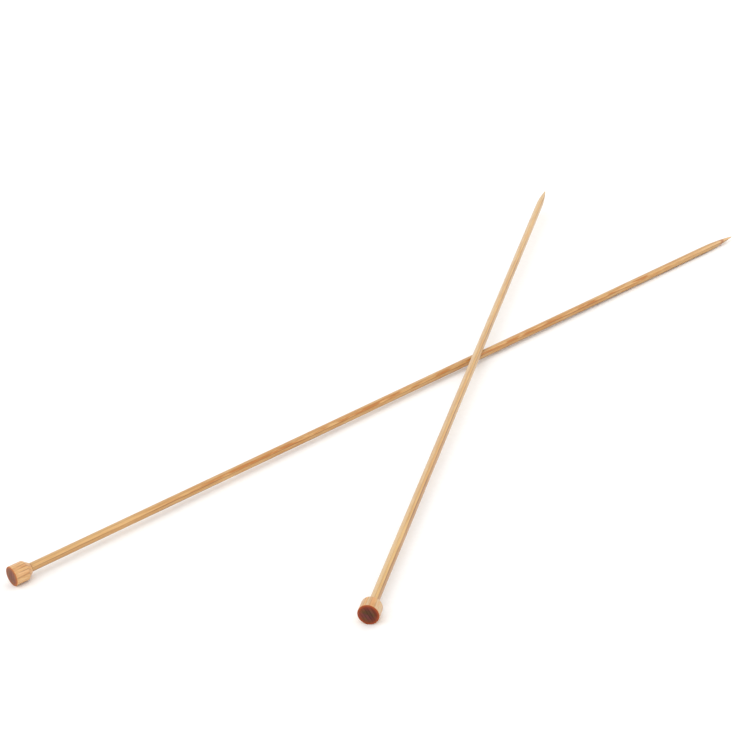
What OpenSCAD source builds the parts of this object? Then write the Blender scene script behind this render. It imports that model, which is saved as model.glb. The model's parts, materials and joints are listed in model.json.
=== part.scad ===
// A pair of straight single-point knitting needles, lying crossed.
// Each needle is a shaft turned from a laminated birch rod and a knob turned from a laminated birch
// block. The shaft is glued into a blind bore in the knob. Every veneer is a solid of its own.

/* [Needle] */
// Length from the knob's end face to the tip of the point
needle_length = 400; // [350:10:400]
// Diameter of the shaft, which is the needle's gauge
shaft_d = 3.25; // [2.75:0.25:3.25]
// Length over which the shaft tapers to its tip
point_length = 21; // [15:1:25]
// Diameter of the rounded tip
tip_d = 0.4; // [0.3:0.1:0.6]

/* [Knob] */
// Diameter of the knob's turned barrel
knob_d = 7.4; // [7:0.2:8]
// Length of the barrel, from the end face to the edge of the shoulder
barrel_length = 5.3; // [4.5:0.1:6]
// Length of the shoulder that slopes in to the shaft
shoulder_length = 2.2; // [1.8:0.1:3]
// Diameter of the knob where the shoulder ends, around the shaft
mouth_d = 4; // [3.9:0.1:4.5]
// Rounding of the rim around the end face
rim_rounding = 0.3; // [0.2:0.05:0.5]
// Rounding of the edge between barrel and shoulder
shoulder_rounding = 0.5; // [0.3:0.1:0.8]
// Depth of the bore that holds the shaft
bore_depth = 5.5; // [4.5:0.1:6]
// Thickness of the glue between shaft and bore
glue_gap = 0.1; // [0.08:0.01:0.12]
// Width of the bead of glue that shows around the shaft
glue_bead = 0.3; // [0.25:0.05:0.3]

/* [Lamination] */
// Thickness of one birch veneer
veneer = 1.1; // [1.05:0.05:1.1]
// How thin the shaft's outer veneers run out near the tip, where the core veneer takes over
feather = 0.1; // [0.08:0.01:0.15]
// How far the lower knob's veneers are turned about its axis, from lying flat
lower_knob_roll = -68; // [-90:1:90]
// How far the lower shaft's veneers are turned about its axis
lower_shaft_roll = -37; // [-90:1:90]
// How far the upper knob's veneers are turned about its axis
upper_knob_roll = 65; // [-90:1:90]
// How far the upper shaft's veneers are turned about its axis
upper_shaft_roll = -57; // [-90:1:90]

/* [Crossing] */
// Angle between the two needles, seen from above
crossing_angle = 35.2; // [15:0.1:90]
// Distance from the lower needle's end face to where the upper needle crosses it
lower_crossing = 231; // [200:1:240]
// Distance from the upper needle's end face to where it crosses the lower needle
upper_crossing = 206; // [200:1:240]
// Air left between the two shafts where they cross
crossing_gap = 0.05; // [0.05:0.01:0.1]

/* [Hidden] */

shaft_r = shaft_d / 2;
tip_r = tip_d / 2;
knob_r = knob_d / 2;
mouth_r = mouth_d / 2;
bore_r = shaft_r + glue_gap;
knob_length = barrel_length + shoulder_length;
bore_floor = knob_length - bore_depth;
shaft_start = bore_floor + glue_gap;
point_start = needle_length - point_length;
taper = point_length - tip_r;
// Where the taper is down to the core veneer and the outer veneers' run-out on either side of it
tip_start = point_start
    + taper * sqrt(1 - (veneer / 2 + feather - tip_r) / (shaft_r - tip_r));

shaft_plies = 3;
core_ply = 2;
knob_plies = 2 * ceil(knob_r / veneer);
// Half the width of the slabs that cut a turned shape into veneers
slab_reach = knob_d;

SIDES = ["lower", "upper"];

// Segments in a full circle, in a rounded edge and along the point's curve
$fn = 180;
edge_steps = 5;
point_steps = 14;

// How the needles lie. The lower needle stands on the edge of its knob's barrel and on the shaft
// where the point starts. The upper needle stands on its knob's rim and on the lower shaft.
lower_tilt = atan((knob_r - shaft_r) / (point_start - barrel_length));
lower_start_z = knob_r * cos(lower_tilt) + barrel_length * sin(lower_tilt);
lower_axis = [cos(lower_tilt), 0, -sin(lower_tilt)];
crossing_point = [0, 0, lower_start_z] + lower_crossing * lower_axis
    + [0, 0, shaft_d + crossing_gap];
upper_tilt = asin((crossing_point.z - knob_r) / (upper_crossing - rim_rounding));
upper_axis = [
    cos(crossing_angle) * cos(upper_tilt),
    sin(crossing_angle) * cos(upper_tilt),
    sin(upper_tilt)
];

// The origin is on the surface that the needles lie on, at the middle of the pair's outline
lower_start = [0, 0, lower_start_z];
upper_start = crossing_point - upper_crossing * upper_axis;
function rim_low(start, axis, i) =
    start[i] + rim_rounding * axis[i] - rim_rounding
    - (knob_r - rim_rounding) * sqrt(1 - axis[i] * axis[i]);
function tip_high(start, axis, i) = start[i] + (needle_length - tip_r) * axis[i] + tip_r;
pair_low_x = rim_low(lower_start, lower_axis, 0);
pair_high_x = tip_high(lower_start, lower_axis, 0);
pair_low_y = rim_low(upper_start, upper_axis, 1);
pair_high_y = tip_high(upper_start, upper_axis, 1);
pair_middle = [(pair_low_x + pair_high_x) / 2, (pair_low_y + pair_high_y) / 2, 0];

// Wood tones of the veneers, in turn, for each needle
LOWER_TONES = ["#c98d4f", "#dfae6f"];
UPPER_TONES = ["#e0b87c", "#cf9a5e"];
GLUE_TONE = "#6e4526";

// Puts a needle that runs along +X from its end face where the lower one lies
module lay_lower() {
    translate(lower_start - pair_middle) rotate([0, lower_tilt, 0]) children();
}

// The same for the upper needle, which leans on the lower one
module lay_upper() {
    translate(upper_start - pair_middle) rotate([0, 0, crossing_angle])
        rotate([0, -upper_tilt, 0]) children();
}

// A solid of revolution about +X. Each outline point is [radius, distance from the end face]
module turned(outline) {
    rotate([0, 90, 0]) rotate_extrude() polygon(outline);
}

// The sheet of wood between two heights, turned about the needle's axis
module sheet(low, high, length, roll) {
    margin = 1;
    rotate([roll, 0, 0]) translate([-margin, -slab_reach, low])
        cube([length + 2 * margin, 2 * slab_reach, high - low]);
}

// The shaft with its tapered point and rounded tip
module turned_shaft() {
    turned(concat(
        [[0, shaft_start], [shaft_r, shaft_start]],
        [for (i = [0:point_steps]) let (u = i / point_steps)
            [tip_r + (shaft_r - tip_r) * (1 - u * u), point_start + u * taper]],
        [for (i = [1:edge_steps]) let (a = 90 * i / edge_steps)
            [tip_r * cos(a), needle_length - tip_r + tip_r * sin(a)]]
    ));
}

// The knob before it is bored: a barrel with a rounded rim and a sloped shoulder
module turned_knob() {
    slope = atan((knob_r - mouth_r) / shoulder_length);
    blend = shoulder_rounding * tan(slope / 2);
    turned(concat(
        [[0, 0]],
        [for (i = [0:edge_steps]) let (a = 90 * i / edge_steps)
            [knob_r - rim_rounding * (1 - sin(a)), rim_rounding * (1 - cos(a))]],
        [for (i = [0:edge_steps]) let (a = slope * i / edge_steps)
            [knob_r - shoulder_rounding * (1 - cos(a)),
             barrel_length - blend + shoulder_rounding * sin(a)]],
        [[mouth_r, knob_length], [0, knob_length]]
    ));
}

// An outer veneer of a shaft, turned down, on the side that the sign gives
module outer_shaft_ply(side, roll) {
    intersection() {
        turned_shaft();
        rotate([roll + (side < 0 ? 180 : 0), 0, 0]) translate([0, -slab_reach, veneer / 2])
            cube([tip_start, 2 * slab_reach, slab_reach]);
    }
}

// One veneer of a shaft: a core of full thickness, which alone forms the tip, or one beside it
module shaft_ply(n, roll, tones) {
    color(tones[n % 2])
        if (n == core_ply)
            difference() {
                turned_shaft();
                for (side = [-1, 1]) outer_shaft_ply(side, roll);
            }
        else outer_shaft_ply(n - core_ply, roll);
}

// One veneer of a knob, with its share of the bore
module knob_ply(n, roll, tones) {
    color(tones[n % 2]) difference() {
        intersection() {
            turned_knob();
            sheet((n - 1 - knob_plies / 2) * veneer, (n - knob_plies / 2) * veneer,
                knob_length, roll);
        }
        translate([bore_floor, 0, 0]) rotate([0, 90, 0]) cylinder(r = bore_r, h = knob_length);
    }
}

// The set glue: a thin cup between shaft and bore, with a bead around the shaft at the mouth
module knob_glue() {
    color(GLUE_TONE) turned([
        [0, bore_floor],
        [bore_r, bore_floor],
        [bore_r, knob_length],
        [shaft_r + glue_bead, knob_length],
        [shaft_r, knob_length + glue_bead],
        [shaft_r, shaft_start],
        [0, shaft_start]
    ]);
}

for (n = [1:shaft_plies]) {
    lay_lower() shaft_ply(n, lower_shaft_roll, LOWER_TONES);
    lay_upper() shaft_ply(n, upper_shaft_roll, UPPER_TONES);
}
for (n = [1:knob_plies]) {
    lay_lower() knob_ply(n, lower_knob_roll, LOWER_TONES);
    lay_upper() knob_ply(n, upper_knob_roll, UPPER_TONES);
}
lay_lower() knob_glue();  // lower_knob_glue
lay_upper() knob_glue();  // upper_knob_glue
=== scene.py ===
"""A crossed pair of straight knitting needles of laminated birch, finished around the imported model.

Each needle is a shaft and a knob, turned from veneers that were glued face to face, with a bead of set glue
where the shaft enters the knob. Every veneer is a piece of its own. Sizes are in millimetres in a needle's
own frame, which starts at the middle of the knob's end face and has X along the needle, and a finished mesh
is in metres in the model's frame.
"""
import json
import logging
from dataclasses import dataclass, field
from enum import Enum
from math import atan, ceil, cos, pi, radians, sin, tan
from typing import Any, Union

import bmesh
import bpy
from mathutils import Euler, Matrix, Vector


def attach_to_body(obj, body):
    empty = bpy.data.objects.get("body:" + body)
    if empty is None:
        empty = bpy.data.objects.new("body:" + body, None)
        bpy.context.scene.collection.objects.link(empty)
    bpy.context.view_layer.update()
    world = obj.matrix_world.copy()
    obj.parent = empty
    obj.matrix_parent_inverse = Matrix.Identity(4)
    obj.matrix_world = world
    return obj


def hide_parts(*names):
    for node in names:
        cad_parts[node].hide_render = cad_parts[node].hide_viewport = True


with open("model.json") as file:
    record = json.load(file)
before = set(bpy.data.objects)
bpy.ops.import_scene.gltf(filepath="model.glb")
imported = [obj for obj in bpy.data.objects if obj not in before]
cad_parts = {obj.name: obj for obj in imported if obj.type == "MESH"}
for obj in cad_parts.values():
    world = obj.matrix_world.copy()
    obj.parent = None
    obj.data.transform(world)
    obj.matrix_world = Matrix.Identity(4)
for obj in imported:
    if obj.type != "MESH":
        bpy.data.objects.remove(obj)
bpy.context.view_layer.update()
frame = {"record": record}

logger = logging.getLogger("needles")

MM = 0.001

# Sockets of the Mix node when it mixes colours, which share their names with its other sockets
MIX_FACTOR = 0
MIX_FIRST = 6
MIX_SECOND = 7
MIX_RESULT = 2

SocketValue = Union[float, tuple, bpy.types.NodeSocket]


class Side(Enum):
    """Which of the two needles a piece belongs to."""

    LOWER = "lower"
    UPPER = "upper"


class Tone(Enum):
    """The two tones of birch that take turns through the lamination."""

    PALE = "birch_pale"
    BROWN = "birch_brown"


def linear_colour(code: str) -> tuple[float, float, float, float]:
    """Turns an sRGB hex colour into linear light.

    Args:
        code: Six hex digits after a hash sign.

    Returns:
        Red, green, blue and alpha, with alpha at 1.
    """
    channels = [int(code[i:i + 2], 16) / 255 for i in (1, 3, 5)]
    red, green, blue = (
        c / 12.92 if c <= 0.04045 else ((c + 0.055) / 1.055) ** 2.4 for c in channels
    )
    return (red, green, blue, 1.0)


def add_node(
    tree: bpy.types.NodeTree,
    kind: str,
    settings: dict[str, Any],
    inputs: dict[Union[str, int], SocketValue],
) -> bpy.types.Node:
    """Adds a shader node, sets it up, and fills or links its inputs.

    Args:
        tree: The material's node tree.
        kind: Blender's name for the type of node.
        settings: Properties of the node itself.
        inputs: For each input socket, a value or the output socket that it is linked to.

    Returns:
        The new node.
    """
    node = tree.nodes.new(kind)
    for name, value in settings.items():
        setattr(node, name, value)
    for socket_name, value in inputs.items():
        socket = node.inputs[socket_name]
        if isinstance(value, bpy.types.NodeSocket):
            tree.links.new(value, socket)
        else:
            socket.default_value = value
    return node


def blank_material(name: str) -> bpy.types.Material:
    """Makes a material with an empty node tree.

    Args:
        name: The material's name.

    Returns:
        The new material.
    """
    material = bpy.data.materials.new(name)
    material.use_nodes = True
    material.node_tree.nodes.clear()
    return material


@dataclass(frozen=True)
class Placement:
    """Where a needle lies: the middle of its end face, in metres, and the direction towards its point."""

    start: Vector
    along: Vector

    @classmethod
    def from_mounts(cls, side: Side) -> "Placement":
        """Reads a needle's place from the mount on its knob's end face.

        Args:
            side: Which needle.

        Returns:
            The placement of that needle.
        """
        mount = mount_named(f"{side.value}_knob_end")
        return cls(Vector(mount["pos_m"]), -Vector(mount["axis"]))

    def axes(self) -> Matrix:
        """Gives the needle's own axes as columns: along it, to its left, and up."""
        left = Vector((0, 0, 1)).cross(self.along).normalized()
        return Matrix((self.along, left, self.along.cross(left))).transposed()

    def to_model(self, roll: float) -> Matrix:
        """Gives the matrix that carries millimetres on the rolled lamination into the model's metres.

        Args:
            roll: Turn of the lamination about the needle's axis, in degrees.

        Returns:
            A 4 by 4 matrix.
        """
        turn = Matrix.Rotation(radians(roll), 4, "X")
        return Matrix.Translation(self.start) @ self.axes().to_4x4() @ turn @ Matrix.Scale(MM, 4)

    def to_grain(self, roll: float) -> tuple[Vector, Euler]:
        """Gives the Mapping node's location and rotation that undo the needle's placement.

        Args:
            roll: Turn of the lamination about the needle's axis, in degrees.

        Returns:
            The location in millimetres, and the rotation, for a scale from metres to millimetres.
        """
        turn = Matrix.Rotation(radians(roll), 3, "X")
        undo = (self.axes() @ turn).transposed()
        return -(undo @ self.start) / MM, undo.to_euler("XYZ")


def mount_named(name: str) -> dict[str, Any]:
    """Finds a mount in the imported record.

    Args:
        name: The mount's name.

    Returns:
        The mount's entry.
    """
    return next(m for m in frame["record"]["mounts"] if m["name"] == name)


@dataclass(frozen=True)
class Lamination:
    """A stack of veneers: how thick each is, how far the stack is rolled, and what its sheets look like."""

    roll: float
    seams_at_axis: bool
    first_tone: Tone
    veneer: float = 1.1

    def tone(self, number: int) -> Tone:
        """Gives the tone of a veneer, counted from 1."""
        other = Tone.BROWN if self.first_tone is Tone.PALE else Tone.PALE
        return self.first_tone if number % 2 else other

    def phase(self) -> float:
        """Gives the shift, in veneers, that puts whole numbers on the seams."""
        return 0.0 if self.seams_at_axis else 0.5


@dataclass(frozen=True)
class BirchFinish:
    """Birch veneer, peeled into sheets, glued into a stack, turned, sanded fine and sprayed with lacquer.

    To the eye it is a pale, warm, nearly even wood, with faint long bands from the growth rings, fine streaks,
    short dark pore lines along the grain, a thin darker line of resin at each seam, and a soft satin gloss.
    """

    name: str
    light: str
    ring: str
    streak: str
    pore: str = "#96673a"
    seam: str = "#7d4d27"
    warm: str = "#b8782c"
    # The warm mottles' largest share, and the stretches of the needle over which they come in and fade out
    warm_amount: float = 0.25
    warm_from: float = 30.0
    warm_to: float = 110.0
    cool_from: float = 330.0
    cool_to: float = 385.0
    # A sheet is seldom one tone throughout: how far it fades to a paler one on the upper side of the stack,
    # and how far it does so further along the needle
    faded: str = "#d9b479"
    upper_fade: float = 0.0
    far_fade: float = 0.0
    far_from: float = 105.0
    far_to: float = 150.0
    # Birch has small red-brown flecks where a grub bored while it grew. A place before the end face,
    # below 0, leaves the fleck out
    fleck: str = "#9a4f2c"
    fleck_at: float = -50.0
    fleck_length: float = 3.6
    fleck_share: float = 0.7
    # A seam of resin is under 0.1 mm wide. It is drawn twice as wide, so that it shows at the render's size
    seam_width: float = 0.2
    seam_strength: float = 0.7
    # Share of that strength on the seams of the upper side of the stack, which were pressed tighter
    upper_seams: float = 0.35
    # Resin squeezes out unevenly, so a seam darkens and fades over some 35 mm
    seam_length: float = 35.0
    # Growth rings cut nearly flat give bands about 1.5 mm wide that wander over some 60 mm
    ring_width: float = 1.5
    ring_length: float = 60.0
    # Heartwood colour lies in mottles about 1 mm wide and 9 mm long
    mottle_width: float = 1.0
    mottle_length: float = 9.0
    # Fibre bundles are about 0.1 mm wide. They are drawn three times as wide, so that they show
    streak_width: float = 0.3
    streak_length: float = 9.0
    streak_share: float = 0.7
    # Birch pores are 0.06 to 0.1 mm wide and open for 1 to 2 mm. They are drawn twice as large
    pore_width: float = 0.16
    pore_length: float = 2.4
    pore_share: float = 0.45
    # Lacquer fills the pores and leaves a faint orange-peel, so the relief is only 0.02 mm deep
    relief_depth: float = 0.02
    relief_strength: float = 0.35
    # Keeps the noise of neighbouring sheets apart
    sheet_step: float = 7.3
    roughness: float = 0.42
    lacquer: float = 0.3
    lacquer_roughness: float = 0.25

    def make(self, placement: Placement, stack: Lamination) -> bpy.types.Material:
        """Makes the material for one needle's shaft or knob, with its grain along that needle.

        Args:
            placement: Where the needle lies.
            stack: The lamination that the veneer belongs to.

        Returns:
            The finished material.
        """
        material = blank_material(self.name)
        tree = material.node_tree
        location, rotation = placement.to_grain(stack.roll)
        where = add_node(tree, "ShaderNodeTexCoord", {}, {})
        grain = add_node(tree, "ShaderNodeMapping", {}, {
            "Vector": where.outputs["Object"],
            "Location": location,
            "Rotation": rotation,
            "Scale": (1 / MM, 1 / MM, 1 / MM),
        }).outputs[0]
        split = add_node(tree, "ShaderNodeSeparateXYZ", {}, {0: grain})
        along, through = split.outputs["X"], split.outputs["Z"]

        # Height in veneers: its whole part is the sheet, and its fraction is the depth in the sheet
        height = add_node(tree, "ShaderNodeMath", {"operation": "MULTIPLY_ADD"}, {
            0: through, 1: 1 / stack.veneer, 2: stack.phase(),
        }).outputs[0]
        sheet = add_node(tree, "ShaderNodeMath", {"operation": "FLOOR"}, {0: height}).outputs[0]
        nearest = add_node(tree, "ShaderNodeMath", {"operation": "PINGPONG"}, {0: height, 1: 0.5}).outputs[0]
        on_seam = add_node(tree, "ShaderNodeMapRange", {"interpolation_type": "SMOOTHSTEP"}, {
            "Value": nearest,
            "From Min": 0.25 * self.seam_width / stack.veneer,
            "From Max": self.seam_width / stack.veneer,
            "To Min": self.seam_strength,
            "To Max": 0.0,
        }).outputs[0]
        # The seam under the middle sheet is number 0, and those above it are fainter
        tight = add_node(tree, "ShaderNodeMapRange", {}, {
            "Value": height, "From Min": 0.4, "From Max": 0.6, "To Min": 1.0, "To Max": self.upper_seams,
        }).outputs[0]
        spread = self.grain_noise(tree, grain, 0.0, self.seam_length, 4.0, 1.0, (0.25, 0.6))
        seam = on_seam
        for share in (tight, spread):
            seam = add_node(tree, "ShaderNodeMath", {"operation": "MULTIPLY"}, {0: seam, 1: share}).outputs[0]

        rings = self.grain_noise(tree, grain, sheet, self.ring_length, self.ring_width, 2.0, (0.38, 0.66))
        mottles = self.grain_noise(
            tree, grain, sheet, self.mottle_length, self.mottle_width, 3.0, (0.4, 0.58),
        )
        streaks = self.grain_noise(
            tree, grain, sheet, self.streak_length, self.streak_width, 3.0, (0.4, 0.72),
        )
        pores = self.grain_noise(tree, grain, sheet, self.pore_length, self.pore_width, 1.0, (0.6, 0.74))
        warmth = add_node(tree, "ShaderNodeMath", {"operation": "MULTIPLY"}, {
            0: mottles, 1: self.warmth(tree, along),
        }).outputs[0]
        upper = add_node(tree, "ShaderNodeMapRange", {}, {
            "Value": height, "From Min": 1.0, "From Max": 1.05, "To Max": self.upper_fade,
        }).outputs[0]
        far = add_node(tree, "ShaderNodeMapRange", {"interpolation_type": "SMOOTHSTEP"}, {
            "Value": along, "From Min": self.far_from, "From Max": self.far_to, "To Max": self.far_fade,
        }).outputs[0]
        faded = add_node(tree, "ShaderNodeMath", {"operation": "MAXIMUM"}, {0: upper, 1: far}).outputs[0]
        from_fleck = add_node(tree, "ShaderNodeMath", {"operation": "SUBTRACT"}, {
            0: along, 1: self.fleck_at,
        }).outputs[0]
        off_fleck = add_node(tree, "ShaderNodeMath", {"operation": "ABSOLUTE"}, {0: from_fleck}).outputs[0]
        on_fleck = add_node(tree, "ShaderNodeMapRange", {"interpolation_type": "SMOOTHSTEP"}, {
            "Value": off_fleck, "From Min": 0.1 * self.fleck_length, "From Max": 0.5 * self.fleck_length,
            "To Min": self.fleck_share, "To Max": 0.0,
        }).outputs[0]
        streaked = add_node(tree, "ShaderNodeMath", {"operation": "MULTIPLY"}, {
            0: streaks, 1: self.streak_share,
        }).outputs[0]
        pored = add_node(tree, "ShaderNodeMath", {"operation": "MULTIPLY"}, {
            0: pores, 1: self.pore_share,
        }).outputs[0]

        colour = linear_colour(self.light)
        for share, mark in (
            (rings, self.ring),
            (streaked, self.streak),
            (faded, self.faded),
            (warmth, self.warm),
            (on_fleck, self.fleck),
            (pored, self.pore),
            (seam, self.seam),
        ):
            colour = add_node(tree, "ShaderNodeMix", {"data_type": "RGBA"}, {
                MIX_FACTOR: share, MIX_FIRST: colour, MIX_SECOND: linear_colour(mark),
            }).outputs[MIX_RESULT]

        # Pores and the gaps between fibre bundles sink a little, pores the deeper of the two
        sunk = add_node(tree, "ShaderNodeMath", {"operation": "MULTIPLY"}, {0: streaks, 1: -0.4}).outputs[0]
        relief = add_node(tree, "ShaderNodeMath", {"operation": "MULTIPLY_ADD"}, {
            0: pores, 1: -0.6, 2: sunk,
        }).outputs[0]
        bump = add_node(tree, "ShaderNodeBump", {}, {
            "Height": relief, "Strength": self.relief_strength, "Distance": self.relief_depth * MM,
        }).outputs[0]
        roughness = add_node(tree, "ShaderNodeMapRange", {}, {
            "Value": streaks, "To Min": self.roughness - 0.05, "To Max": self.roughness + 0.09,
        }).outputs[0]
        shader = add_node(tree, "ShaderNodeBsdfPrincipled", {}, {
            "Base Color": colour,
            "Roughness": roughness,
            "IOR": 1.5,
            "Normal": bump,
            "Coat Weight": self.lacquer,
            "Coat Roughness": self.lacquer_roughness,
        })
        add_node(tree, "ShaderNodeOutputMaterial", {}, {"Surface": shader.outputs[0]})
        return material

    def grain_noise(
        self,
        tree: bpy.types.NodeTree,
        grain: bpy.types.NodeSocket,
        sheet: SocketValue,
        length: float,
        width: float,
        detail: float,
        band: tuple[float, float],
    ) -> bpy.types.NodeSocket:
        """Adds noise that is drawn out along the grain and differs from sheet to sheet.

        Args:
            tree: The material's node tree.
            grain: Place on the lamination, in millimetres.
            sheet: Number of the sheet.
            length: Size of the marks along the grain, in millimetres.
            width: Size of the marks across the grain, in millimetres.
            detail: Octaves of finer noise.
            band: The range of the noise that becomes 0 to 1.

        Returns:
            The strength of the marks, from 0 to 1.
        """
        stretched = add_node(tree, "ShaderNodeVectorMath", {"operation": "MULTIPLY"}, {
            0: grain, 1: (1 / length, 1 / width, 1 / width),
        }).outputs[0]
        own = add_node(tree, "ShaderNodeMath", {"operation": "MULTIPLY"}, {
            0: sheet, 1: self.sheet_step,
        }).outputs[0]
        noise = add_node(tree, "ShaderNodeTexNoise", {"noise_dimensions": "4D"}, {
            "Vector": stretched, "W": own, "Scale": 1.0, "Detail": detail,
        }).outputs[0]
        return add_node(tree, "ShaderNodeMapRange", {"interpolation_type": "SMOOTHSTEP"}, {
            "Value": noise, "From Min": band[0], "From Max": band[1],
        }).outputs[0]

    def warmth(self, tree: bpy.types.NodeTree, along: bpy.types.NodeSocket) -> bpy.types.NodeSocket:
        """Adds how much of the warm colour the wood takes, rising and falling along the needle.

        Args:
            tree: The material's node tree.
            along: Distance from the end face, in millimetres.

        Returns:
            The amount, from 0 to the finish's largest.
        """
        rise = add_node(tree, "ShaderNodeMapRange", {"interpolation_type": "SMOOTHSTEP"}, {
            "Value": along, "From Min": self.warm_from, "From Max": self.warm_to, "To Max": self.warm_amount,
        }).outputs[0]
        fall = add_node(tree, "ShaderNodeMapRange", {"interpolation_type": "SMOOTHSTEP"}, {
            "Value": along, "From Min": self.cool_from, "From Max": self.cool_to,
            "To Min": 1.0, "To Max": 0.15,
        }).outputs[0]
        return add_node(tree, "ShaderNodeMath", {"operation": "MULTIPLY"}, {0: rise, 1: fall}).outputs[0]


@dataclass(frozen=True)
class StainedEndGrain:
    """The knob's end face: birch end grain, sanded, stained red-brown and lacquered.

    End grain drinks stain, so it is far darker than the sides. To the eye each veneer takes it differently,
    the cut fibres are fine dots in rows along the veneers, and the rim, where less stain stays, is a rusty
    orange.
    """

    name: str
    core: str
    olive: str
    plum: str
    russet: str
    rim: str
    edge: str
    seam: str = "#1c0f0a"
    knob_radius: float = 3.7
    rim_width: float = 0.9
    # How far the rim's inner edge wanders in and out with the fibres
    rim_wander: float = 0.9
    # Rows of cut fibres are about 0.1 mm apart. They are drawn 0.35 mm apart, so that they show
    row_pitch: float = 0.35
    row_length: float = 2.2
    roughness: float = 0.5
    # Stain and sanding leave hardly any lacquer on the open end grain, so it mirrors less than the sides
    gloss: float = 0.12

    def make(self, placement: Placement, stack: Lamination) -> bpy.types.Material:
        """Makes the material for one knob's end face.

        Args:
            placement: Where the needle lies.
            stack: The knob's lamination.

        Returns:
            The finished material.
        """
        material = blank_material(self.name)
        tree = material.node_tree
        location, rotation = placement.to_grain(stack.roll)
        where = add_node(tree, "ShaderNodeTexCoord", {}, {})
        grain = add_node(tree, "ShaderNodeMapping", {}, {
            "Vector": where.outputs["Object"],
            "Location": location,
            "Rotation": rotation,
            "Scale": (1 / MM, 1 / MM, 1 / MM),
        }).outputs[0]
        split = add_node(tree, "ShaderNodeSeparateXYZ", {}, {0: grain})
        flat = add_node(tree, "ShaderNodeVectorMath", {"operation": "MULTIPLY"}, {
            0: grain, 1: (0.0, 1.0, 1.0),
        }).outputs[0]
        radius = add_node(tree, "ShaderNodeVectorMath", {"operation": "LENGTH"}, {0: flat}).outputs["Value"]

        # Each veneer drinks its own share of the stain, with seams as thin dark lines
        height = add_node(tree, "ShaderNodeMath", {"operation": "MULTIPLY_ADD"}, {
            0: split.outputs["Z"], 1: 1 / stack.veneer, 2: stack.phase(),
        }).outputs[0]
        sheet = add_node(tree, "ShaderNodeMath", {"operation": "FLOOR"}, {0: height}).outputs[0]
        share = add_node(tree, "ShaderNodeTexWhiteNoise", {"noise_dimensions": "1D"}, {
            "W": sheet,
        }).outputs["Value"]
        nearest = add_node(tree, "ShaderNodeMath", {"operation": "PINGPONG"}, {0: height, 1: 0.5}).outputs[0]
        seam = add_node(tree, "ShaderNodeMapRange", {"interpolation_type": "SMOOTHSTEP"}, {
            "Value": nearest, "From Min": 0.02, "From Max": 0.16, "To Min": 0.6, "To Max": 0.0,
        }).outputs[0]

        rows = add_node(tree, "ShaderNodeVectorMath", {"operation": "MULTIPLY"}, {
            0: flat, 1: (0.0, 1 / self.row_length, 1 / self.row_pitch),
        }).outputs[0]
        fibres = add_node(tree, "ShaderNodeTexNoise", {}, {
            "Vector": rows, "Scale": 1.0, "Detail": 3.0, "Roughness": 0.6,
        }).outputs[0]
        clouds = add_node(tree, "ShaderNodeTexNoise", {}, {
            "Vector": flat, "Scale": 0.35, "Detail": 1.0,
        }).outputs[0]

        drift = add_node(tree, "ShaderNodeMapRange", {"interpolation_type": "SMOOTHSTEP"}, {
            "Value": clouds, "From Min": 0.4, "From Max": 0.62,
        }).outputs[0]
        fibre_dark = add_node(tree, "ShaderNodeMapRange", {"interpolation_type": "SMOOTHSTEP"}, {
            "Value": fibres, "From Min": 0.42, "From Max": 0.66, "To Max": 0.55,
        }).outputs[0]
        outwards = add_node(tree, "ShaderNodeMapRange", {"interpolation_type": "SMOOTHSTEP"}, {
            "Value": radius,
            "From Min": 0.35 * self.knob_radius,
            "From Max": 0.95 * self.knob_radius,
            "To Max": 0.75,
        }).outputs[0]
        wavy_radius = add_node(tree, "ShaderNodeMath", {"operation": "MULTIPLY_ADD"}, {
            0: fibres, 1: self.rim_wander, 2: radius,
        }).outputs[0]
        rim = add_node(tree, "ShaderNodeMapRange", {"interpolation_type": "SMOOTHSTEP"}, {
            "Value": wavy_radius,
            "From Min": self.knob_radius + self.rim_wander / 2 - self.rim_width,
            "From Max": self.knob_radius + self.rim_wander / 2,
        }).outputs[0]
        # The rim's rounding turns the face into the side
        turn = add_node(tree, "ShaderNodeMapRange", {"interpolation_type": "SMOOTHSTEP"}, {
            "Value": split.outputs["X"], "From Min": 0.03, "From Max": 0.3,
        }).outputs[0]

        colour = linear_colour(self.olive)
        for amount, stain in (
            (drift, self.plum),
            (share, self.core),
            (fibre_dark, self.core),
            (seam, self.seam),
            (outwards, self.russet),
            (rim, self.rim),
            (turn, self.edge),
        ):
            colour = add_node(tree, "ShaderNodeMix", {"data_type": "RGBA"}, {
                MIX_FACTOR: amount, MIX_FIRST: colour, MIX_SECOND: linear_colour(stain),
            }).outputs[MIX_RESULT]

        bump = add_node(tree, "ShaderNodeBump", {}, {
            "Height": fibres, "Strength": 0.5, "Distance": 0.03 * MM,
        }).outputs[0]
        shader = add_node(tree, "ShaderNodeBsdfPrincipled", {}, {
            "Base Color": colour,
            "Roughness": self.roughness,
            "IOR": 1.5,
            "Specular IOR Level": self.gloss,
            "Normal": bump,
        })
        add_node(tree, "ShaderNodeOutputMaterial", {}, {"Surface": shader.outputs[0]})
        return material


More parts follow.
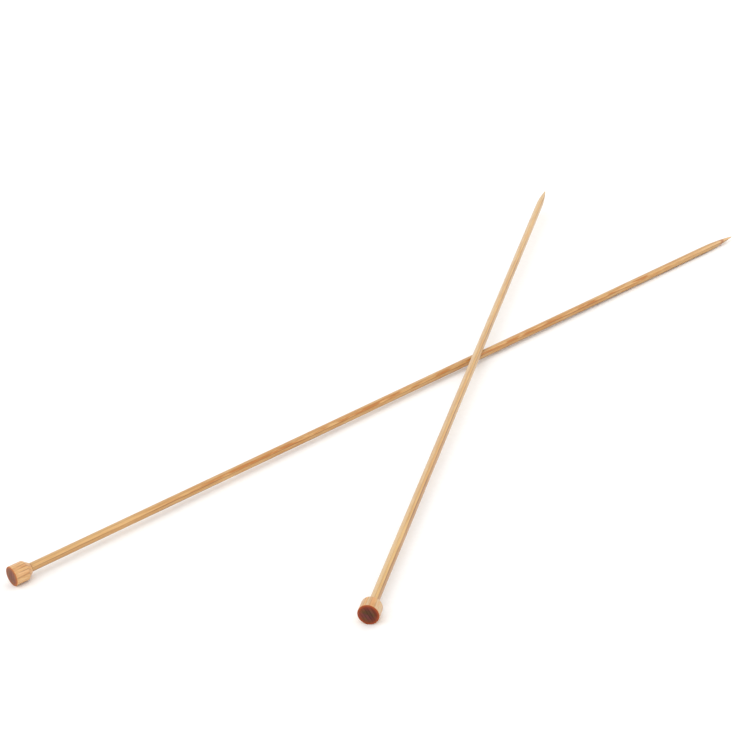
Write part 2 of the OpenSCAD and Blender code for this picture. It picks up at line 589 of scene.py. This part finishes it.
@dataclass(frozen=True)
class SetGlueFinish:
    """Wood glue that has set: wiped by hand into a thin bead, hard, and stained like the wood around it.

    To the eye it is a dark amber line with small lighter swellings and a dull gloss.
    """

    name: str = "set wood glue"
    dark: str = "#5d3a1e"
    light: str = "#8f5f34"
    # The bead swells and thins every 0.8 mm or so
    swelling: float = 0.8

    def make(self) -> bpy.types.Material:
        """Makes the material.

        Returns:
            The finished material.
        """
        material = blank_material(self.name)
        tree = material.node_tree
        where = add_node(tree, "ShaderNodeTexCoord", {}, {})
        swells = add_node(tree, "ShaderNodeTexNoise", {}, {
            "Vector": where.outputs["Object"], "Scale": 1 / (self.swelling * MM), "Detail": 2.0,
        }).outputs[0]
        colour = add_node(tree, "ShaderNodeMix", {"data_type": "RGBA"}, {
            MIX_FACTOR: swells, MIX_FIRST: linear_colour(self.dark), MIX_SECOND: linear_colour(self.light),
        }).outputs[MIX_RESULT]
        roughness = add_node(tree, "ShaderNodeMapRange", {}, {
            "Value": swells, "To Min": 0.28, "To Max": 0.5,
        }).outputs[0]
        bump = add_node(tree, "ShaderNodeBump", {}, {
            "Height": swells, "Strength": 0.5, "Distance": 0.04 * MM,
        }).outputs[0]
        shader = add_node(tree, "ShaderNodeBsdfPrincipled", {}, {
            "Base Color": colour, "Roughness": roughness, "IOR": 1.48, "Normal": bump,
        })
        add_node(tree, "ShaderNodeOutputMaterial", {}, {"Surface": shader.outputs[0]})
        return material


def turned_solid(outline: list[tuple[float, float]], steps: int) -> bmesh.types.BMesh:
    """Spins a half outline about X into a closed solid.

    Args:
        outline: Points as distance from the end face and radius. The first and last are on the axis.
        steps: Faces around the axis.

    Returns:
        A mesh in millimetres.
    """
    solid = bmesh.new()
    points = [solid.verts.new((x, 0.0, radius)) for x, radius in outline]
    edges = [solid.edges.new(pair) for pair in zip(points, points[1:])]
    bmesh.ops.spin(
        solid, geom=points + edges, cent=(0, 0, 0), axis=(1, 0, 0), dvec=(0, 0, 0), angle=2 * pi,
        steps=steps, use_merge=True, use_normal_flip=False, use_duplicate=False,
    )
    bmesh.ops.remove_doubles(solid, verts=solid.verts, dist=1e-4)
    bmesh.ops.recalc_face_normals(solid, faces=solid.faces)
    return solid


def saw_off(solid: bmesh.types.BMesh, height: float, keep_below: bool) -> None:
    """Cuts a solid at a height and closes the cut.

    Args:
        solid: The mesh to cut.
        height: Height of the cut through the lamination, in millimetres.
        keep_below: Whether the part under the cut stays, or the part over it.
    """
    bmesh.ops.bisect_plane(
        solid, geom=solid.verts[:] + solid.edges[:] + solid.faces[:], dist=1e-5,
        plane_co=(0, 0, height), plane_no=(0, 0, 1), clear_outer=keep_below, clear_inner=not keep_below,
    )
    rim = [edge for edge in solid.edges if edge.is_boundary]
    cut = bmesh.ops.holes_fill(solid, edges=rim, sides=0)["faces"]
    bmesh.ops.triangulate(solid, faces=cut, quad_method="BEAUTY", ngon_method="BEAUTY")


def finish_mesh(
    solid: bmesh.types.BMesh,
    name: str,
    to_model: Matrix,
    materials: list[bpy.types.Material],
) -> bpy.types.Object:
    """Places a solid in the model's frame and makes it an object with smooth faces and crisp edges.

    Args:
        solid: The mesh in millimetres, which is freed.
        name: The object's name.
        to_model: Matrix from the needle's millimetres to the model's metres.
        materials: The object's materials, in the order of the faces' material numbers.

    Returns:
        The new object, at the origin and unturned.
    """
    crisp_from = radians(30)
    bmesh.ops.recalc_face_normals(solid, faces=solid.faces)
    for edge in solid.edges:
        edge.smooth = edge.calc_face_angle(pi) < crisp_from
    for face in solid.faces:
        face.smooth = True
    bmesh.ops.transform(solid, matrix=to_model, verts=solid.verts)
    mesh = bpy.data.meshes.new(name)
    solid.to_mesh(mesh)
    solid.free()
    for material in materials:
        mesh.materials.append(material)
    piece = bpy.data.objects.new(name, mesh)
    bpy.context.scene.collection.objects.link(piece)
    return piece


def attach(piece: bpy.types.Object, side: Side, node: str) -> None:
    """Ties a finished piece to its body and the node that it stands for.

    Args:
        piece: The finished piece.
        side: Which needle it belongs to.
        node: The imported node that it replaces.
    """
    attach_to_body(piece, f"{side.value}_needle")
    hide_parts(node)
    logger.info("%s: %d faces on %s_needle for %s", piece.name, len(piece.data.polygons), side.value, node)


@dataclass
class Shaft:
    """A shaft: a rod of three veneers with a curved taper to a rounded tip."""

    side: Side
    stack: Lamination
    placement: Placement
    length: float
    radius: float
    glued_from: float = 2.1
    point_length: float = 21.0
    tip_radius: float = 0.2
    veneers: int = 3
    around: int = 96
    point_steps: int = 28
    tip_steps: int = 8
    rod_steps: int = 20

    def outline(self) -> list[tuple[float, float]]:
        """Gives the half outline of the shaft.

        Returns:
            Points as distance from the end face and radius.
        """
        point_start = self.length - self.point_length
        taper = self.point_length - self.tip_radius
        rod = [
            (self.glued_from + (point_start - self.glued_from) * i / self.rod_steps, self.radius)
            for i in range(self.rod_steps)
        ]
        point = [
            (point_start + taper * u, self.tip_radius + (self.radius - self.tip_radius) * (1 - u * u))
            for u in (i / self.point_steps for i in range(self.point_steps + 1))
        ]
        tip = [
            (self.length - self.tip_radius + self.tip_radius * sin(a), self.tip_radius * cos(a))
            for a in (pi / 2 * i / self.tip_steps for i in range(1, self.tip_steps))
        ]
        return [(self.glued_from, 0.0), *rod, *point, *tip, (self.length, 0.0)]

    def build(self, materials: dict[Tone, bpy.types.Material]) -> None:
        """Builds every veneer of the shaft as a piece of its own.

        Args:
            materials: The wood of each tone.
        """
        for number in range(1, self.veneers + 1):
            solid = turned_solid(self.outline(), self.around)
            low = (number - 1 - self.veneers / 2) * self.stack.veneer
            if number > 1:
                saw_off(solid, low, keep_below=False)
            if number < self.veneers:
                saw_off(solid, low + self.stack.veneer, keep_below=True)
            tone = self.stack.tone(number)
            piece = finish_mesh(
                solid, f"{self.side.value}_shaft_veneer_{number}",
                self.placement.to_model(self.stack.roll), [materials[tone]],
            )
            attach(
                piece, self.side, f"{self.side.value}_shaft_ply_{number}",
            )


@dataclass
class Knob:
    """A knob: a barrel of eight veneers with a rounded rim, a sloped shoulder and a blind bore."""

    side: Side
    stack: Lamination
    placement: Placement
    radius: float
    barrel_length: float = 5.3
    shoulder_length: float = 2.2
    mouth_radius: float = 2.0
    rim_rounding: float = 0.3
    shoulder_rounding: float = 0.5
    bore_radius: float = 1.725
    bore_floor: float = 2.0
    around: int = 144
    edge_steps: int = 9

    def length(self) -> float:
        """Gives the knob's length along the needle."""
        return self.barrel_length + self.shoulder_length

    def veneers(self) -> int:
        """Gives the number of veneers that the knob is cut from."""
        return 2 * ceil(self.radius / self.stack.veneer)

    def outline(self) -> list[tuple[float, float]]:
        """Gives the half outline of the bored knob.

        Returns:
            Points as distance from the end face and radius.
        """
        slope = atan((self.radius - self.mouth_radius) / self.shoulder_length)
        blend = self.shoulder_rounding * tan(slope / 2)
        rim = [
            (self.rim_rounding * (1 - cos(a)), self.radius - self.rim_rounding * (1 - sin(a)))
            for a in (pi / 2 * i / self.edge_steps for i in range(self.edge_steps + 1))
        ]
        shoulder = [
            (self.barrel_length - blend + self.shoulder_rounding * sin(a),
             self.radius - self.shoulder_rounding * (1 - cos(a)))
            for a in (slope * i / self.edge_steps for i in range(self.edge_steps + 1))
        ]
        bore = [
            (self.length(), self.mouth_radius),
            (self.length(), self.bore_radius),
            (self.bore_floor, self.bore_radius),
            (self.bore_floor, 0.0),
        ]
        return [(0.0, 0.0), *rim, *shoulder, *bore]

    def build(self, materials: dict[Tone, bpy.types.Material], end_grain: bpy.types.Material) -> None:
        """Builds every veneer of the knob as a piece of its own.

        Args:
            materials: The wood of each tone.
            end_grain: The stained wood of the end face and its rim.
        """
        for number in range(1, self.veneers() + 1):
            solid = turned_solid(self.outline(), self.around)
            low = (number - 1 - self.veneers() / 2) * self.stack.veneer
            if number > 1:
                saw_off(solid, low, keep_below=False)
            if number < self.veneers():
                saw_off(solid, low + self.stack.veneer, keep_below=True)
            for face in solid.faces:
                outer = face.normal.x < -0.3 and face.calc_center_median().x < self.rim_rounding
                face.material_index = 1 if outer else 0
            tone = self.stack.tone(number)
            piece = finish_mesh(
                solid, f"{self.side.value}_knob_veneer_{number}",
                self.placement.to_model(self.stack.roll), [materials[tone], end_grain],
            )
            attach(
                piece, self.side, f"{self.side.value}_knob_ply_{number}",
            )


@dataclass
class KnobGlue:
    """The set glue: a thin cup between shaft and bore, with a hollow bead around the shaft at the mouth."""

    side: Side
    placement: Placement
    knob: Knob
    shaft: Shaft
    bead: float = 0.3
    around: int = 96
    bead_steps: int = 8

    def outline(self) -> list[tuple[float, float]]:
        """Gives the half outline of the cup and its bead.

        Returns:
            Points as distance from the end face and radius.
        """
        mouth = self.knob.length()
        middle_radius = self.shaft.radius + self.bead
        meniscus = [
            (mouth + self.bead * (1 - cos(a)), middle_radius - self.bead * sin(a))
            for a in (pi / 2 * i / self.bead_steps for i in range(self.bead_steps + 1))
        ]
        return [
            (self.knob.bore_floor, 0.0),
            (self.knob.bore_floor, self.knob.bore_radius),
            (mouth, self.knob.bore_radius),
            *meniscus,
            (self.shaft.glued_from, self.shaft.radius),
            (self.shaft.glued_from, 0.0),
        ]

    def build(self, material: bpy.types.Material) -> None:
        """Builds the glue as one piece.

        Args:
            material: The set glue's finish.
        """
        solid = turned_solid(self.outline(), self.around)
        piece = finish_mesh(
            solid, f"{self.side.value}_glue_bead", self.placement.to_model(0.0), [material],
        )
        attach(piece, self.side, f"{self.side.value}_knob_glue")


@dataclass(frozen=True)
class NeedleWood:
    """The woods of one needle: its shaft's and its knob's two tones, and the knob's stained end."""

    shaft_pale: BirchFinish
    shaft_brown: BirchFinish
    knob_pale: BirchFinish
    knob_brown: BirchFinish
    end_grain: StainedEndGrain


@dataclass
class Needle:
    """One straight needle: a laminated shaft glued into a laminated knob."""

    side: Side
    shaft_roll: float
    knob_roll: float
    shaft_first: Tone
    knob_first: Tone
    wood: NeedleWood
    placement: Placement = field(init=False)

    def __post_init__(self) -> None:
        """Reads where the needle lies."""
        self.placement = Placement.from_mounts(self.side)

    def length(self) -> float:
        """Gives the needle's length, in millimetres, from the mounts at its two ends."""
        tip = Vector(mount_named(f"{self.side.value}_point")["pos_m"])
        return round((tip - self.placement.start).length / MM, 2)

    def build(self, glue: bpy.types.Material) -> None:
        """Builds and dresses every piece of the needle.

        Args:
            glue: The set glue's finish.
        """
        shaft_stack = Lamination(self.shaft_roll, False, self.shaft_first)
        knob_stack = Lamination(self.knob_roll, True, self.knob_first)
        shaft = Shaft(
            self.side, shaft_stack, self.placement, self.length(),
            mount_named(f"{self.side.value}_shaft_gauge")["dims"]["r_mm"],
        )
        knob = Knob(
            self.side, knob_stack, self.placement,
            mount_named(f"{self.side.value}_knob_barrel")["dims"]["r_mm"],
        )
        shaft.build({
            Tone.PALE: self.wood.shaft_pale.make(self.placement, shaft_stack),
            Tone.BROWN: self.wood.shaft_brown.make(self.placement, shaft_stack),
        })
        knob.build(
            {
                Tone.PALE: self.wood.knob_pale.make(self.placement, knob_stack),
                Tone.BROWN: self.wood.knob_brown.make(self.placement, knob_stack),
            },
            self.wood.end_grain.make(self.placement, knob_stack),
        )
        KnobGlue(self.side, self.placement, knob, shaft).build(glue)


@dataclass
class Studio:
    """A plain pale table, a white room, a soft lamp and the camera."""

    table_size: float = 40.0
    paint_low: str = "#f3f2f0"
    paint_high: str = "#f8f8f7"
    # A roller leaves a stipple about 2 mm across
    stipple: float = 2.0
    room_light: float = 1.2
    lamp_at: tuple[float, float, float] = (-0.7, -0.7, 1.7)
    lamp_size: float = 2.4
    lamp_power: float = 5.0
    camera_at: tuple[float, float, float] = (-0.4404, -0.50857, 0.30973)
    # Direction that the camera looks, from +X towards +Y, then down, and its lean about its own axis
    camera_heading: float = 51.351
    camera_down: float = 23.847
    camera_lean: float = -6.903
    camera_lens: float = 87.537

    def build(self) -> None:
        """Builds the table, the light and the camera."""
        self.lay_table()
        self.light_room()
        self.hang_lamp()
        self.place_camera()

    def lay_table(self) -> None:
        """Lays the table's top at the height that the needles lie on."""
        top = bmesh.new()
        bmesh.ops.create_grid(top, x_segments=8, y_segments=8, size=self.table_size / 2)
        mesh = bpy.data.meshes.new("table_top")
        top.to_mesh(mesh)
        top.free()
        mesh.materials.append(self.table_material())
        table = bpy.data.objects.new("table_top", mesh)
        bpy.context.scene.collection.objects.link(table)

    def table_material(self) -> bpy.types.Material:
        """Makes the table's finish: board rolled with matt white paint, which shows as an even pale surface.

        Returns:
            The finished material.
        """
        material = blank_material("matt white paint")
        tree = material.node_tree
        where = add_node(tree, "ShaderNodeTexCoord", {}, {})
        stipple = add_node(tree, "ShaderNodeTexNoise", {}, {
            "Vector": where.outputs["Object"], "Scale": 1 / (self.stipple * MM), "Detail": 2.0,
        }).outputs[0]
        colour = add_node(tree, "ShaderNodeMix", {"data_type": "RGBA"}, {
            MIX_FACTOR: stipple,
            MIX_FIRST: linear_colour(self.paint_low),
            MIX_SECOND: linear_colour(self.paint_high),
        }).outputs[MIX_RESULT]
        shader = add_node(tree, "ShaderNodeBsdfPrincipled", {}, {
            "Base Color": colour, "Roughness": 0.9, "Specular IOR Level": 0.2,
        })
        add_node(tree, "ShaderNodeOutputMaterial", {}, {"Surface": shader.outputs[0]})
        return material

    def light_room(self) -> None:
        """Lights the room evenly from white walls, and shows colours as they are."""
        world = bpy.data.worlds.new("white room")
        world.use_nodes = True
        world.node_tree.nodes.clear()
        glow = add_node(world.node_tree, "ShaderNodeBackground", {}, {
            "Color": (1.0, 1.0, 1.0, 1.0), "Strength": self.room_light,
        })
        add_node(world.node_tree, "ShaderNodeOutputWorld", {}, {"Surface": glow.outputs[0]})
        bpy.context.scene.world = world
        bpy.context.scene.view_settings.view_transform = "Standard"

    def hang_lamp(self) -> None:
        """Hangs a square soft lamp overhead that faces the place where the pair lies."""
        lamp = bpy.data.lights.new("soft lamp overhead", "AREA")
        lamp.size = self.lamp_size
        lamp.energy = self.lamp_power
        holder = bpy.data.objects.new("soft lamp overhead", lamp)
        holder.location = self.lamp_at
        holder.rotation_euler = (-Vector(self.lamp_at)).to_track_quat("-Z", "Y").to_euler()
        bpy.context.scene.collection.objects.link(holder)

    def place_camera(self) -> None:
        """Places the camera at the pair's viewing angle."""
        heading, down, lean = (radians(a) for a in (self.camera_heading, self.camera_down, self.camera_lean))
        look = Vector((cos(down) * cos(heading), cos(down) * sin(heading), -sin(down)))
        right = look.cross(Vector((0, 0, 1))).normalized()
        up = right.cross(look)
        leaned_right = cos(lean) * right + sin(lean) * up
        leaned_up = cos(lean) * up - sin(lean) * right
        lens = bpy.data.cameras.new("camera")
        lens.lens = self.camera_lens
        lens.clip_start = 0.01
        lens.clip_end = 100.0
        camera = bpy.data.objects.new("camera", lens)
        turn = Matrix((leaned_right, leaned_up, -look)).transposed().to_4x4()
        camera.matrix_world = Matrix.Translation(self.camera_at) @ turn
        bpy.context.scene.collection.objects.link(camera)
        bpy.context.scene.camera = camera


def knob_birch(
    name: str,
    light: str,
    ring: str,
    streak: str,
    seam_strength: float,
    warm: str,
    warm_amount: float,
) -> BirchFinish:
    """Gives one tone of a knob's birch, whose marks are cut short because the knob is.

    Args:
        name: The finish's name.
        light: The colour between the growth rings.
        ring: The colour of the growth rings.
        streak: The colour of the fine streaks.
        seam_strength: How dark the seams are, from 0 to 1.
        warm: The colour of the mottles.
        warm_amount: The mottles' largest share.

    Returns:
        The finish, with its mottles at full share from the end face on.
    """
    return BirchFinish(
        name, light, ring, streak, warm=warm, warm_amount=warm_amount, warm_from=-20.0, warm_to=-10.0,
        seam_length=2.5, seam_strength=seam_strength, upper_seams=0.8, ring_length=20.0, streak_length=4.0,
        mottle_length=4.0, mottle_width=0.7,
    )


def lower_wood() -> NeedleWood:
    """Gives the lower needle's woods: a birch with orange-brown mottles that are strongest midway.

    Returns:
        The needle's finishes.
    """
    return NeedleWood(
        BirchFinish(
            "lacquered birch veneer, lower shaft, pale", "#c69d63", "#bd8d52", "#ae8047",
            warm="#b57c34", warm_amount=0.7, fleck_at=391.0,
        ),
        BirchFinish(
            "lacquered birch veneer, lower shaft, brown", "#d4a86c", "#c99a5b", "#b98646",
            warm="#ae6714", warm_amount=0.9, faded="#d9b07a", far_fade=0.8, far_from=345.0, far_to=380.0,
            fleck_at=392.0,
        ),
        knob_birch(
            "lacquered birch veneer, lower knob, pale", "#dcb37d", "#d3a66e", "#c18f55",
            0.6, "#c68a4b", 0.5,
        ),
        knob_birch(
            "lacquered birch veneer, lower knob, brown", "#dbac78", "#d09e67", "#bb8954",
            0.6, "#b67536", 0.5,
        ),
        StainedEndGrain(
            "stained birch end grain, lower knob",
            "#73453a", "#866345", "#8c5448", "#955a3c", "#b3683a", "#c78b58",
        ),
    )


def upper_wood() -> NeedleWood:
    """Gives the upper needle's woods: a pale birch with one brown veneer, and a darker stain on the end.

    The shaft's core has soaked up resin beside its seams, so they are drawn wider and darker there.

    Returns:
        The needle's finishes.
    """
    return NeedleWood(
        BirchFinish(
            "lacquered birch veneer, upper shaft, pale", "#d3ab6a", "#cb9f5d", "#bc8c48",
            seam_width=0.32, seam_strength=0.85, warm="#c68a40", warm_amount=0.4,
        ),
        BirchFinish(
            "lacquered birch veneer, upper shaft, brown", "#b88a55", "#ae7e4a", "#9e6f38",
            warm="#ad763c", warm_amount=0.3, faded="#ceac78", upper_fade=0.9, far_fade=0.65,
        ),
        knob_birch(
            "lacquered birch veneer, upper knob, pale", "#ccad83", "#c29f71", "#b48a57",
            0.5, "#cf8f50", 0.4,
        ),
        knob_birch(
            "lacquered birch veneer, upper knob, brown", "#d6a86a", "#cc9a5a", "#ba8848",
            0.5, "#c07838", 0.5,
        ),
        StainedEndGrain(
            "stained birch end grain, upper knob",
            "#48271d", "#654a2c", "#713d3a", "#853923", "#a04c29", "#b8763f",
        ),
    )


def main() -> None:
    """Builds the studio and both needles, and reports each piece."""
    logging.basicConfig(level=logging.INFO, format="%(name)s: %(message)s")
    Studio().build()
    glue = SetGlueFinish().make()
    Needle(Side.LOWER, -37.0, -68.0, Tone.PALE, Tone.PALE, lower_wood()).build(glue)
    Needle(Side.UPPER, -57.0, 65.0, Tone.BROWN, Tone.BROWN, upper_wood()).build(glue)


if __name__ == "__main__":
    main()
